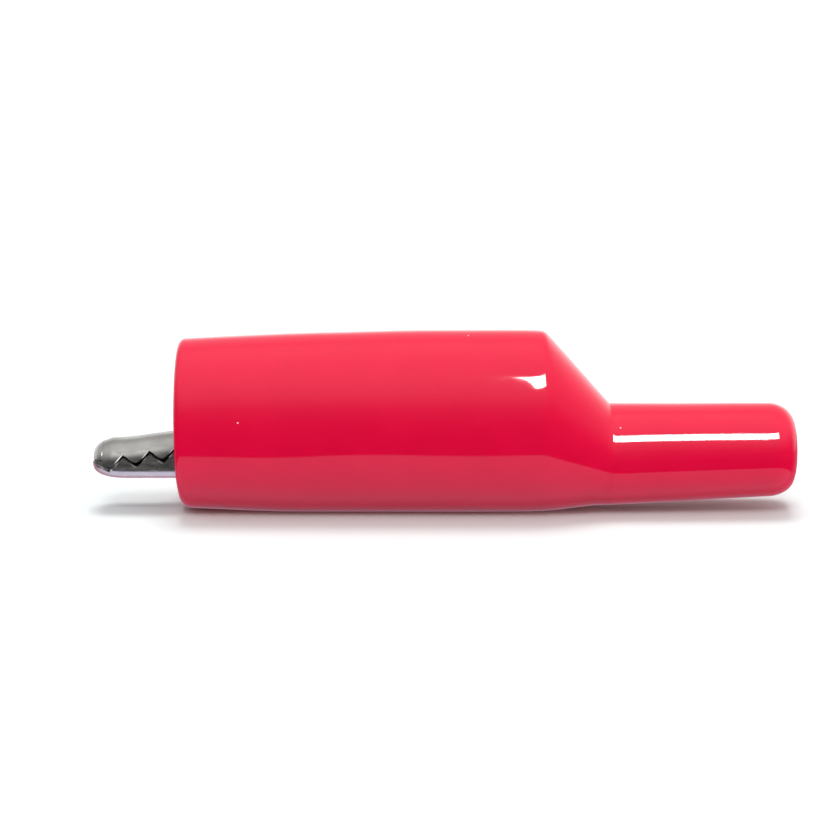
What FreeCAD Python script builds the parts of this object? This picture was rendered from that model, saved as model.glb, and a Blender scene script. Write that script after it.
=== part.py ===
import math
import os

import FreeCAD
import Part
import Sketcher

# Booted alligator clip for test leads. A soft insulating boot slips over a stamped spring clip:
# a lower jaw stamping that carries the pivot ears, the terminal and the rolled plug socket, and an
# upper jaw stamping with its thumb lever, held shut by a torsion spring round the pivot rivet.
# Frame: X along the clip with the jaws towards -X, Z up, millimetres. The origin is under the
# middle of the whole length, on the surface that the boot lies on.

SIZES = [
    # boot
    ("boot_length", 60.0),
    ("barrel_length", 36.5),
    ("shoulder_length", 6.1),
    ("mouth_width", 13.4),
    ("mouth_height", 16.7),
    ("swell_station", 14.0),
    ("swell_width", 13.9),
    ("swell_height", 17.35),
    ("barrel_width", 14.2),
    ("barrel_height", 17.6),
    ("underside_flat", 0.35),
    ("underside_trim", 0.03),
    ("boot_wall", 1.25),
    ("tail_root_diameter", 9.6),
    ("tail_end_diameter", 9.1),
    ("lead_diameter", 5.0),
    ("lead_clearance", 0.1),
    ("tail_rounding", 1.0),
    ("crease_setback", 0.56),
    ("seat_setback", 0.88),
    # clip
    ("jaw_overhang", 8.5),
    ("jaw_width", 4.8),
    ("jaw_floor_height", 3.3),
    ("nose_lift", 0.9),
    ("nose_round", 1.8),
    ("nose_bend", 0.9),
    ("bite_height", 4.3),
    ("bite_slope", 0.16),
    ("bite_gap", 0.3),
    ("tooth_pitch", 2.6),
    ("tooth_depth", 1.1),
    ("first_tooth", 3.06),
    ("sheet_gauge", 0.7),
    ("sheet_bend", 1.0),
    ("channel_room", 1.65),
    ("channel_lead", 4.84),
    ("floor_bend_reach", 3.3),
    ("side_clearance", 0.15),
    ("shoulder_clearance", 0.25),
    ("pivot_reach", 28.25),
    ("pivot_height", 7.4),
    ("ear_radius", 2.2),
    ("jaw_crown_height", 7.0),
    ("crown_slope", 0.15),
    ("hinge_crown_height", 10.9),
    ("hinge_rise", 1.6),
    ("hinge_lead", 6.6),
    ("ear_relief", 0.2),
    ("lever_reach", 14.0),
    ("lever_width", 6.2),
    ("lever_flange", 1.9),
    ("flange_start", 4.4),
    ("flange_step", 0.8),
    ("tooth_relief", 0.45),
    ("lever_headroom", 0.95),
    ("crown_bend", 1.9),
    ("lever_bend", 1.3),
    # rivet and spring
    ("rivet_diameter", 2.4),
    ("running_clearance", 0.05),
    ("rivet_head_diameter", 4.0),
    ("rivet_head_height", 0.6),
    ("rivet_hole_diameter", 1.2),
    ("spring_coil_diameter", 3.9),
    ("spring_wire", 0.7),
    ("spring_pitch", 0.78),
    ("spring_gap", 0.06),
    ("upper_leg_reach", 8.7),
    ("lower_leg_reach", 7.7),
    # terminal
    ("screw_setback", 1.75),
    ("screw_diameter", 2.5),
    ("screw_end_drop", 1.3),
    ("screw_head_diameter", 4.0),
    ("screw_head_height", 1.4),
    ("screw_dome", 0.35),
    ("slot_width", 0.6),
    ("slot_depth", 0.7),
    ("washer_side", 4.2),
    ("washer_height", 0.5),
    ("washer_corner", 0.5),
    ("washer_room", 0.6),
    ("neck_lead", 3.15),
    ("neck_tail", 2.52),
    ("neck_wall_height", 0.65),
    # plug socket
    ("plug_diameter", 4.0),
    ("plug_clearance", 0.05),
    ("socket_height", 5.6),
    ("socket_engagement", 3.9),
    ("socket_length", 7.8),
]

TEETH = 5
SPRING_TURNS = 3
# half angle, in degrees from the top, of the tail root's arc that meets the barrel's crown
RING_SPLIT = 165
# rounded nose of the upper stamping: shares of its length, half width, drop and bend radius
HOOD_NOSE = [
    (0.06, 0.55, 0.65, 0.5),
    (0.4, 0.8, 0.3, 0.75),
    (1.0, 1.0, 0.05, 1.0),
]

doc = FreeCAD.newDocument("AlligatorClip")


# ---------------------------------------------------------------- sheet and places along the clip

def write_sheet():
    sheet = doc.addObject("Spreadsheet::Sheet", "Sizes")
    for row, (alias, value) in enumerate(SIZES, start=1):
        sheet.set(f"A{row}", alias)
        sheet.set(f"B{row}", str(value))
        sheet.setAlias(f"B{row}", alias)
    doc.recompute()
    return sheet


def size(alias):
    return f"Sizes.{alias}"


sheet = write_sheet()

NOSE = "(-(Sizes.jaw_overhang + Sizes.boot_length) / 2)"
MOUTH = f"({NOSE} + Sizes.jaw_overhang)"
SWELL = f"({MOUTH} + Sizes.swell_station)"
BARREL_END = f"({MOUTH} + Sizes.barrel_length)"
SHOULDER_END = f"({BARREL_END} + Sizes.shoulder_length)"
BOOT_END = f"({MOUTH} + Sizes.boot_length)"
PIVOT = f"({NOSE} + Sizes.pivot_reach)"
LEVER_END = f"({PIVOT} + Sizes.lever_reach)"
CLIP_END = f"({SHOULDER_END} + Sizes.socket_engagement)"
SOCKET_START = f"({CLIP_END} - Sizes.socket_length)"
TERMINAL = f"({BARREL_END} - Sizes.screw_setback)"

PLUG_RADIUS = "(Sizes.plug_diameter / 2 + Sizes.plug_clearance)"
SOCKET_RADIUS = f"({PLUG_RADIUS} + Sizes.sheet_gauge)"
SEAT_RADIUS = f"({SOCKET_RADIUS} + 2 * Sizes.running_clearance)"
LEAD_RADIUS = "(Sizes.lead_diameter / 2 + Sizes.lead_clearance)"
HOLE_RADIUS = "(Sizes.screw_diameter / 2 + Sizes.running_clearance)"
PIVOT_HOLE_RADIUS = "(Sizes.rivet_diameter / 2 + Sizes.running_clearance)"

NECK_FLOOR = f"(Sizes.socket_height - {SOCKET_RADIUS})"
NECK_TOP = f"({NECK_FLOOR} + Sizes.sheet_gauge + Sizes.neck_wall_height)"
NECK_HALF = "(Sizes.washer_side / 2 + Sizes.washer_room + Sizes.sheet_gauge)"
CHANNEL_HALF = (
    "(min(Sizes.mouth_width; Sizes.barrel_width) / 2 - Sizes.boot_wall - Sizes.channel_room)"
)
LEVER_HALF = f"({CHANNEL_HALF} - Sizes.sheet_gauge - Sizes.side_clearance)"
JAW_HALF = "(Sizes.jaw_width / 2)"
EAR_TOP = "(Sizes.pivot_height + Sizes.ear_radius)"
LEVER_TOP = "(min(Sizes.mouth_height; Sizes.barrel_height) - Sizes.boot_wall - Sizes.lever_headroom)"
LEVER_SLOPE = f"(({LEVER_TOP} - Sizes.hinge_crown_height) / (Sizes.lever_reach + Sizes.ear_radius))"
FLOOR_BEND = f"({PIVOT} + Sizes.floor_bend_reach)"
NECK_START = f"({TERMINAL} - Sizes.neck_lead)"
LEG_SHARE = f"(({PIVOT} + Sizes.lower_leg_reach - {FLOOR_BEND}) / ({NECK_START} - {FLOOR_BEND}))"
LEG_FLOOR = f"(Sizes.jaw_floor_height - (Sizes.jaw_floor_height - {NECK_FLOOR}) * {LEG_SHARE})"
WASHER_BOTTOM = f"({NECK_FLOOR} + Sizes.sheet_gauge + Sizes.running_clearance)"


# ---------------------------------------------------------------- drawing helpers

def number(text):
    """The value in millimetres of an expression written over the sheet."""
    value = sheet.evalExpression(text)
    return float(getattr(value, "Value", value))


def bind(thing, prop, text):
    thing.setExpression(prop, text)


def arc_between(start, end, radius, side):
    """Arc from start to end whose centre lies to the left (side 1) or right (side -1) of the chord."""
    chord = end - start
    middle = (start + end) * 0.5
    left = FreeCAD.Vector(-chord.y, chord.x, 0).normalize() * side
    reach = math.sqrt(max(radius ** 2 - (chord.Length / 2) ** 2, 0.0))
    crest = middle + left * (reach - radius)
    return Part.Arc(start, crest, end)


def outline(body, name, plane, offset, corners):
    """Closed sketch through corners (x, y) or (x, y, radius, side), which starts an arc.

    Every coordinate and radius is an expression over the sheet, and stays bound to it.
    """
    sketch = body.newObject("Sketcher::SketchObject", name)
    roles = {item.Role: item for item in body.Origin.OriginFeatures}
    sketch.AttachmentSupport = [(roles[plane], "")]
    sketch.MapMode = "FlatFace"
    if offset:
        bind(sketch, ".AttachmentOffset.Base.z", offset)
    points = [FreeCAD.Vector(number(corner[0]), number(corner[1]), 0) for corner in corners]
    for index, corner in enumerate(corners):
        start = points[index]
        end = points[(index + 1) % len(points)]
        if len(corner) == 4:
            sketch.addGeometry(arc_between(start, end, number(corner[2]), corner[3]))
        else:
            sketch.addGeometry(Part.LineSegment(start, end))
    join_corners(sketch, points, corners)
    return sketch


def corner_ends(sketch, index, count):
    """Vertex numbers of edge index where it starts and ends, as its curve is stored."""
    edge = sketch.Geometry[index]
    if isinstance(edge, Part.LineSegment):
        return 1, 2
    return (1, 2) if count > 0 else (2, 1)


def join_corners(sketch, points, corners):
    count = len(points)
    for index in range(count):
        turn = corners[index][3] if len(corners[index]) == 4 else 1
        follow = (index + 1) % count
        next_turn = corners[follow][3] if len(corners[follow]) == 4 else 1
        here = corner_ends(sketch, index, turn)
        ahead = corner_ends(sketch, follow, next_turn)
        sketch.addConstraint(Sketcher.Constraint("Coincident", index, here[1], follow, ahead[0]))
        place = points[index]
        for kind, value, text in (
            ("DistanceX", place.x, corners[index][0]),
            ("DistanceY", place.y, corners[index][1]),
        ):
            row = sketch.addConstraint(Sketcher.Constraint(kind, -1, 1, index, here[0], value))
            bind(sketch, f"Constraints[{row}]", text)
        if len(corners[index]) == 4:
            radius = number(corners[index][2])
            row = sketch.addConstraint(Sketcher.Constraint("Radius", index, radius))
            bind(sketch, f"Constraints[{row}]", corners[index][2])


def loft(body, kind, name, sketches):
    feature = body.newObject(f"PartDesign::{kind}Loft", name)
    feature.Profile = sketches[0]
    feature.Sections = sketches[1:]
    feature.Ruled = True
    return feature


def pad(body, name, sketch, length):
    feature = body.newObject("PartDesign::Pad", name)
    feature.Profile = sketch
    bind(feature, "Length", length)
    return feature


def pocket_across(body, name, sketch, length):
    """Cut the sketch through the body, the same way to both sides of its plane."""
    feature = body.newObject("PartDesign::Pocket", name)
    feature.Profile = sketch
    feature.Midplane = True
    bind(feature, "Length", length)
    return feature


def circle_sketch(body, name, plane, offset, centre, radius):
    sketch = body.newObject("Sketcher::SketchObject", name)
    roles = {item.Role: item for item in body.Origin.OriginFeatures}
    sketch.AttachmentSupport = [(roles[plane], "")]
    sketch.MapMode = "FlatFace"
    if offset:
        bind(sketch, ".AttachmentOffset.Base.z", offset)
    middle = FreeCAD.Vector(number(centre[0]), number(centre[1]), 0)
    sketch.addGeometry(Part.Circle(middle, FreeCAD.Vector(0, 0, 1), number(radius)))
    row = sketch.addConstraint(Sketcher.Constraint("Radius", 0, number(radius)))
    bind(sketch, f"Constraints[{row}]", radius)
    for kind, value, text in (("DistanceX", middle.x, centre[0]), ("DistanceY", middle.y, centre[1])):
        row = sketch.addConstraint(Sketcher.Constraint(kind, -1, 1, 0, 3, value))
        bind(sketch, f"Constraints[{row}]", text)
    return sketch


def revolve(body, name, sketch, axis_role):
    roles = {item.Role: item for item in body.Origin.OriginFeatures}
    feature = body.newObject("PartDesign::Revolution", name)
    feature.Profile = sketch
    feature.ReferenceAxis = (roles[axis_role], [""])
    feature.Angle = 360.0
    return feature


def new_body(label):
    body = doc.addObject("PartDesign::Body", label)
    body.Label = label
    return body


# ---------------------------------------------------------------- insulating boot

def across(ring, x, height):
    """Stand a round section across the clip's length with its start at the top."""
    ring.Placement.Rotation = FreeCAD.Rotation(FreeCAD.Vector(0, 1, 0), -90)
    bind(ring, ".Placement.Base.x", x)
    bind(ring, ".Placement.Base.z", height)
    return ring


def oval(name, x, width, height, inset):
    """Oval section that stands on the underside; inset is how far it lies inside the outer skin."""
    ring = doc.addObject("Part::Ellipse", name)
    bind(ring, "MajorRadius", f"({height} + Sizes.underside_flat) / 2 - {inset}")
    bind(ring, "MinorRadius", f"{width} / 2 - {inset}")
    return across(ring, x, f"({height} - Sizes.underside_flat) / 2")


def ring(name, x, height, radius):
    circle = doc.addObject("Part::Circle", name)
    bind(circle, "Radius", radius)
    return across(circle, x, height)


def skin(name, sections, ruled):
    solid = doc.addObject("Part::Loft", name)
    solid.Sections = sections
    solid.Solid = True
    solid.Ruled = ruled
    return solid


def rod(name, x, length, height, radius):
    cylinder = doc.addObject("Part::Cylinder", name)
    bind(cylinder, "Radius", radius)
    bind(cylinder, "Height", length)
    cylinder.Placement.Rotation = FreeCAD.Rotation(FreeCAD.Vector(0, 1, 0), 90)
    bind(cylinder, ".Placement.Base.x", x)
    bind(cylinder, ".Placement.Base.z", height)
    return cylinder


def turned(centre, across, up, angle):
    """Point of an upright oval at an angle from its top."""
    return centre + FreeCAD.Vector(0, across * math.sin(angle), up * math.cos(angle))


def section(name, pieces):
    outline_shape = doc.addObject("Part::Feature", name)
    outline_shape.Shape = Part.Wire(pieces)
    return outline_shape


def standing_oval(name, x, width, height):
    """Oval that lies on the surface: an arc of an ellipse over a short flat on its underside."""
    flat = number("Sizes.underside_flat")
    up = (number(height) + flat) / 2
    across = number(width) / 2
    centre = FreeCAD.Vector(number(x), 0, up - flat)
    turn = math.acos(-(centre.z + number("Sizes.underside_trim")) / up)
    top = turned(centre, across, up, 0)
    side = turned(centre, across, up, math.pi / 2)
    crown = Part.Ellipse(top, side, centre).toShape(-turn, turn)
    underside = Part.makeLine(turned(centre, across, up, turn), turned(centre, across, up, -turn))
    return section(name, [crown, underside])


def split_ring(name, x, height, radius):
    """Circle in two arcs, which meet the crown and the underside of the standing oval."""
    reach = number(radius)
    centre = FreeCAD.Vector(number(x), 0, number(height))
    turn = math.radians(RING_SPLIT)
    right = turned(centre, reach, reach, turn)
    left = turned(centre, reach, reach, -turn)
    top = turned(centre, reach, reach, 0)
    bottom = turned(centre, reach, reach, math.pi)
    upper = Part.Arc(left, top, right).toShape()
    lower = Part.Arc(right, bottom, left).toShape()
    return section(name, [upper, lower])


def boot_tail():
    """Tapered tail behind the shoulder, with a rounded end."""
    body = new_body("BootTail")
    root = "Sizes.tail_root_diameter / 2"
    end = "Sizes.tail_end_diameter / 2"
    half = outline(body, "TailProfile", "XY_Plane", None, [
        (SHOULDER_END, "0"),
        (BOOT_END, "0"),
        (BOOT_END, f"{end} - Sizes.tail_rounding", "Sizes.tail_rounding", 1),
        (f"{BOOT_END} - Sizes.tail_rounding", end),
        (SHOULDER_END, root),
    ])
    revolve(body, "Tail", half, "X_Axis")
    bind(body, ".Placement.Base.z", size("socket_height"))
    return body


def boot_outside():
    tail_ring = (SHOULDER_END, size("socket_height"), "Sizes.tail_root_diameter / 2")
    barrel = skin("BarrelOutside", [
        standing_oval("MouthOval", MOUTH, size("mouth_width"), size("mouth_height")),
        standing_oval("SwellOval", SWELL, size("swell_width"), size("swell_height")),
        standing_oval("BarrelOval", BARREL_END, size("barrel_width"), size("barrel_height")),
    ], False)
    shoulder = skin("ShoulderOutside", [
        standing_oval("ShoulderOval", BARREL_END, size("barrel_width"), size("barrel_height")),
        split_ring("TailRootRing", *tail_ring),
    ], True)
    joined = doc.addObject("Part::MultiFuse", "BootOutside")
    joined.Shapes = [barrel, shoulder, boot_tail()]
    joined.Refine = False
    return joined


def ground():
    """Slab whose top trims the boot's underside flat."""
    slab = doc.addObject("Part::Box", "Ground")
    bind(slab, "Length", size("boot_length"))
    bind(slab, "Width", "2 * Sizes.barrel_width")
    bind(slab, "Height", size("boot_wall"))
    bind(slab, ".Placement.Base.x", MOUTH)
    bind(slab, ".Placement.Base.y", "-Sizes.barrel_width")
    bind(slab, ".Placement.Base.z", "-Sizes.boot_wall")
    return slab


def boot_hollow():
    """Room inside the boot: barrel, shoulder, the seat of the plug socket and the lead's bore."""
    inset = size("boot_wall")
    inner_end = f"({BARREL_END} - Sizes.crease_setback)"
    seat_start = f"({SHOULDER_END} - Sizes.seat_setback)"
    front = f"({MOUTH} - Sizes.boot_wall)"
    barrel = skin("BarrelHollow", [
        oval("MouthHollowOval", MOUTH, size("mouth_width"), size("mouth_height"), inset),
        oval("SwellHollowOval", SWELL, size("swell_width"), size("swell_height"), inset),
        oval("BarrelHollowOval", inner_end, size("barrel_width"), size("barrel_height"), inset),
    ], False)
    mouth = skin("MouthHollow", [
        oval("FrontHollowOval", front, size("mouth_width"), size("mouth_height"), inset),
        oval("MouthHollowOvalRear", MOUTH, size("mouth_width"), size("mouth_height"), inset),
    ], True)
    shoulder = skin("ShoulderHollow", [
        oval("ShoulderHollowOval", inner_end, size("barrel_width"), size("barrel_height"), inset),
        ring("SeatRing", seat_start, size("socket_height"), SEAT_RADIUS),
    ], True)
    seat_length = f"({CLIP_END} - {seat_start} + Sizes.shoulder_clearance)"
    seat = rod("SeatBore", seat_start, seat_length, size("socket_height"), SEAT_RADIUS)
    lead_length = f"({BOOT_END} - {seat_start} + Sizes.boot_wall)"
    lead = rod("LeadBore", seat_start, lead_length, size("socket_height"), LEAD_RADIUS)
    hollow = doc.addObject("Part::MultiFuse", "BootHollow")
    hollow.Shapes = [mouth, barrel, shoulder, seat, lead]
    return hollow


def insulating_boot():
    trimmed = doc.addObject("Part::Cut", "BootTrimmed")
    trimmed.Base = boot_outside()
    trimmed.Tool = ground()
    trimmed.Refine = False
    boot = doc.addObject("Part::Cut", "insulating_boot")
    boot.Base = trimmed
    boot.Tool = boot_hollow()
    boot.Refine = False
    return boot


# ---------------------------------------------------------------- lower jaw stamping

def trough(body, name, x, half, floor, top, bend):
    """U-shaped section across the length: square at the top, bent with the given radius below."""
    return outline(body, name, "YZ_Plane", x, [
        (f"-{half}", top),
        (f"-{half}", f"{floor} + {bend}", bend, 1),
        (f"-{half} + {bend}", floor),
        (f"{half} - {bend}", floor, bend, 1),
        (half, f"{floor} + {bend}"),
        (half, top),
    ])


def bite(distance):
    """Height of the line between the teeth at a distance behind the nose."""
    return f"Sizes.bite_height + Sizes.bite_slope * ({distance})"


def tooth_row(low, high):
    """Corners of a zigzag edge behind the nose: low and high are offsets from the bite line."""
    corners = []
    for index in range(TEETH):
        crest = f"Sizes.first_tooth + {index} * Sizes.tooth_pitch"
        valley = f"{crest} - Sizes.tooth_pitch / 2"
        corners.append((f"{NOSE} + {valley}", f"{bite(valley)} + {low}"))
        corners.append((f"{NOSE} + {crest}", f"{bite(crest)} + {high}"))
    return corners


BITE_END = f"(Sizes.first_tooth + {TEETH} * Sizes.tooth_pitch)"
HALF_TOOTH = "Sizes.tooth_depth / 2"


def frame_edge(body):
    """Everything above the lower stamping's edge: lip, teeth, wall, pivot ears, terminal walls."""
    high = f"({EAR_TOP} + 2 * Sizes.sheet_gauge)"
    wall = f"({bite(BITE_END)} - Sizes.bite_gap)"
    ear_front = f"({PIVOT} - Sizes.ear_radius)"
    ear_rear = f"({PIVOT} + Sizes.ear_radius)"
    corners = [
        (f"{NOSE} - Sizes.sheet_gauge", high),
        (f"{NOSE} - Sizes.sheet_gauge", f"{bite('0')} + {HALF_TOOTH}"),
        (f"{NOSE} + Sizes.sheet_gauge / 2", f"{bite('0')} + {HALF_TOOTH}"),
    ]
    corners += tooth_row(f"(-{HALF_TOOTH})", HALF_TOOTH)
    corners += [
        (f"{NOSE} + {BITE_END}", wall),
        (ear_front, wall),
        (ear_front, "Sizes.pivot_height", "Sizes.ear_radius", -1),
        (PIVOT, EAR_TOP, "Sizes.ear_radius", -1),
        (ear_rear, "Sizes.pivot_height"),
        (f"{ear_rear} + Sizes.ear_radius", NECK_TOP),
        (f"{CLIP_END} + Sizes.sheet_gauge", NECK_TOP),
        (f"{CLIP_END} + Sizes.sheet_gauge", high),
    ]
    sketch = outline(body, "FrameEdge", "XZ_Plane", None, corners)
    pocket_across(body, "FrameEdgeCut", sketch, f"4 * {CHANNEL_HALF}")


def frame_stations():
    """Places along the lower stamping: distance, half width, floor height and bend radius."""
    bend = size("sheet_bend")
    round_bend = f"({SOCKET_RADIUS} - Sizes.side_clearance)"
    floor = size("jaw_floor_height")
    return [
        (NOSE, f"({JAW_HALF} - Sizes.sheet_gauge)", f"({floor} + Sizes.nose_lift)", size("nose_bend")),
        (f"({NOSE} + Sizes.nose_round)", JAW_HALF, floor, bend),
        (f"({MOUTH} + Sizes.nose_round)", JAW_HALF, floor, bend),
        (f"({PIVOT} - Sizes.channel_lead)", CHANNEL_HALF, floor, bend),
        (FLOOR_BEND, CHANNEL_HALF, floor, bend),
        (NECK_START, NECK_HALF, NECK_FLOOR, bend),
        (f"({TERMINAL} + Sizes.neck_tail)", NECK_HALF, NECK_FLOOR, bend),
        (SOCKET_START, SOCKET_RADIUS, NECK_FLOOR, round_bend),
        (f"({SOCKET_START} + Sizes.sheet_gauge)", SOCKET_RADIUS, NECK_FLOOR, round_bend),
    ]


def fixed_jaw_frame():
    body = new_body("fixed_jaw_frame")
    gauge = size("sheet_gauge")
    top = f"({EAR_TOP} + {gauge})"
    outside = []
    inside = []
    stations = frame_stations()
    for index, (x, half, floor, bend) in enumerate(stations):
        outside.append(trough(body, f"FrameSection{index}", x, half, floor, top, bend))
        start = f"({x} + {gauge})" if index == 0 else x
        if index == len(stations) - 1:
            start = f"({x} + {gauge} / 2)"
        half, bend = (f"({value} - {gauge})" for value in (half, bend))
        floor = f"({floor} + {gauge})"
        lid = f"({top} + {gauge})"
        inside.append(trough(body, f"FrameRoom{index}", start, half, floor, lid, bend))
    loft(body, "Additive", "FrameTrough", outside)
    loft(body, "Subtractive", "FrameTroughRoom", inside)
    frame_edge(body)
    axis = (PIVOT, size("pivot_height"))
    pivot = circle_sketch(body, "PivotHoles", "XZ_Plane", None, axis, PIVOT_HOLE_RADIUS)
    pocket_across(body, "PivotHolesCut", pivot, f"4 * {CHANNEL_HALF}")
    plug_socket(body)
    hole = circle_sketch(body, "TerminalHole", "XY_Plane", None, (TERMINAL, "0"), HOLE_RADIUS)
    pocket_across(body, "TerminalHoleCut", hole, "2 * Sizes.socket_height")
    return body


def plug_socket(body):
    """Rolled barrel behind the terminal, with the bore for the plug."""
    centre = ("0", size("socket_height"))
    rolled = circle_sketch(body, "SocketRing", "YZ_Plane", SOCKET_START, centre, SOCKET_RADIUS)
    pad(body, "Socket", rolled, size("socket_length"))
    bore = circle_sketch(body, "SocketBore", "YZ_Plane", CLIP_END, centre, PLUG_RADIUS)
    cut = body.newObject("PartDesign::Pocket", "SocketBoreCut")
    cut.Profile = bore
    bind(cut, "Length", f"{size('socket_length')} + 2 * Sizes.sheet_gauge")


# ---------------------------------------------------------------- upper jaw stamping and its lever

def hood(body, name, x, half, base, top, bend):
    """Inverted U section across the length, bent with the given radius at the top."""
    return outline(body, name, "YZ_Plane", x, [
        (f"-{half}", base),
        (half, base),
        (half, f"{top} - {bend}", bend, 1),
        (f"{half} - {bend}", top),
        (f"-{half} + {bend}", top, bend, 1),
        (f"-{half}", f"{top} - {bend}"),
    ])


def crown(distance):
    """Height of the upper jaw's back at a distance behind the rounded nose."""
    return f"(Sizes.jaw_crown_height + Sizes.crown_slope * ({distance}))"


def lever_stations():
    """Places along the upper stamping: distance, half width, top height and bend radius."""
    step = "Sizes.nose_round"
    jaw_top = size("jaw_crown_height")
    bend = size("crown_bend")
    hinge_start = "(Sizes.hinge_crown_height - Sizes.hinge_rise)"
    waist_run = "(Sizes.floor_bend_reach + Sizes.ear_radius)"
    waist = f"(Sizes.hinge_crown_height + {LEVER_SLOPE} * {waist_run})"
    nose = [
        (
            f"({NOSE} + {along} * {step})",
            f"({JAW_HALF} * {width})",
            f"({jaw_top} - {drop} * {step})",
            f"({turn} * {bend})",
        )
        for along, width, drop, turn in HOOD_NOSE
    ]
    return nose + [
        (f"({NOSE} + 2 * {step})", JAW_HALF, jaw_top, bend),
        (MOUTH, JAW_HALF, crown("Sizes.jaw_overhang - 2 * Sizes.nose_round"), bend),
        (f"({PIVOT} - Sizes.hinge_lead)", LEVER_HALF, hinge_start, bend),
        (f"({PIVOT} - Sizes.ear_radius)", LEVER_HALF, size("hinge_crown_height"), bend),
        (FLOOR_BEND, LEVER_HALF, waist, bend),
        (LEVER_END, "(Sizes.lever_width / 2)", LEVER_TOP, size("lever_bend")),
    ]


def lever_edge(body):
    """Everything below the upper stamping's edge: nose, teeth, pivot ears and lever flanges."""
    low = "(Sizes.jaw_floor_height - Sizes.sheet_gauge)"
    gap = size("bite_gap")
    wall = f"({bite(BITE_END)} + {gap} / 2)"
    ear = "(Sizes.ear_radius - Sizes.ear_relief)"
    ear_front = f"({PIVOT} - {ear})"
    ear_rear = f"({PIVOT} + {ear})"
    corners = [
        (f"{NOSE} - Sizes.sheet_gauge", low),
        (f"{NOSE} - Sizes.sheet_gauge", f"{bite('0')} + {HALF_TOOTH} + {gap}"),
        (f"{NOSE} + Sizes.sheet_gauge", f"{bite('0')} + {HALF_TOOTH} + {gap}"),
    ]
    corners += tooth_row(f"(Sizes.tooth_relief - {HALF_TOOTH})", f"({HALF_TOOTH} + {gap})")
    corners += [
        (f"{NOSE} + {BITE_END}", wall),
        (ear_front, wall),
        (ear_front, "Sizes.pivot_height", ear, 1),
        (PIVOT, f"Sizes.pivot_height - {ear}", ear, 1),
        (ear_rear, "Sizes.pivot_height"),
        (f"{ear_rear} + Sizes.flange_start", "Sizes.hinge_crown_height - Sizes.flange_step"),
        (f"{LEVER_END} + Sizes.sheet_gauge", f"{LEVER_TOP} - Sizes.lever_flange"),
        (f"{LEVER_END} + Sizes.sheet_gauge", low),
    ]
    sketch = outline(body, "LeverEdge", "XZ_Plane", None, corners)
    pocket_across(body, "LeverEdgeCut", sketch, f"4 * {CHANNEL_HALF}")


def moving_jaw_lever():
    body = new_body("moving_jaw_lever")
    gauge = size("sheet_gauge")
    base = "Sizes.jaw_floor_height"
    outside = []
    inside = []
    stations = lever_stations()
    for index, (x, half, top, bend) in enumerate(stations):
        outside.append(hood(body, f"LeverSection{index}", x, half, base, top, bend))
        start = x
        if index == 0:
            start = f"({x} + {gauge})"
        if index == len(stations) - 1:
            start = f"({x} + {gauge} / 2)"
        half, top, bend = (f"({value} - {gauge})" for value in (half, top, bend))
        open_base = f"({base} - {gauge})"
        inside.append(hood(body, f"LeverRoom{index}", start, half, open_base, top, bend))
    loft(body, "Additive", "LeverHood", outside)
    loft(body, "Subtractive", "LeverHoodRoom", inside)
    lever_edge(body)
    axis = (PIVOT, size("pivot_height"))
    pivot = circle_sketch(body, "LeverPivotHoles", "XZ_Plane", None, axis, PIVOT_HOLE_RADIUS)
    pocket_across(body, "LeverPivotHolesCut", pivot, f"4 * {CHANNEL_HALF}")
    return body


# ---------------------------------------------------------------- rivet and spring

def pivot_rivet():
    """Tubular rivet through both pairs of ears, upset over the outer ones."""
    body = new_body("pivot_rivet")
    reach = f"({CHANNEL_HALF} + Sizes.running_clearance)"
    end = f"({reach} + Sizes.rivet_head_height)"
    shank = "Sizes.rivet_diameter / 2"
    head = "Sizes.rivet_head_diameter / 2"
    hole = "Sizes.rivet_hole_diameter / 2"
    profile = outline(body, "RivetProfile", "XY_Plane", None, [
        (hole, f"-{end}"),
        (f"{head} - Sizes.rivet_head_height / 2", f"-{end}"),
        (head, f"-{end} + Sizes.rivet_head_height / 2"),
        (head, f"-{reach}"),
        (shank, f"-{reach}"),
        (shank, reach),
        (head, reach),
        (head, f"{end} - Sizes.rivet_head_height / 2"),
        (f"{head} - Sizes.rivet_head_height / 2", end),
        (hole, end),
    ])
    revolve(body, "Rivet", profile, "Y_Axis")
    bind(body, ".Placement.Base.x", PIVOT)
    bind(body, ".Placement.Base.z", size("pivot_height"))
    return body


def leg_slope(run, rise, radius):
    """Angle between the clip's length and a leg that leaves the coil towards a contact point."""
    return math.acos(radius / math.hypot(run, rise)) - math.atan2(run, rise)


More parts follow.
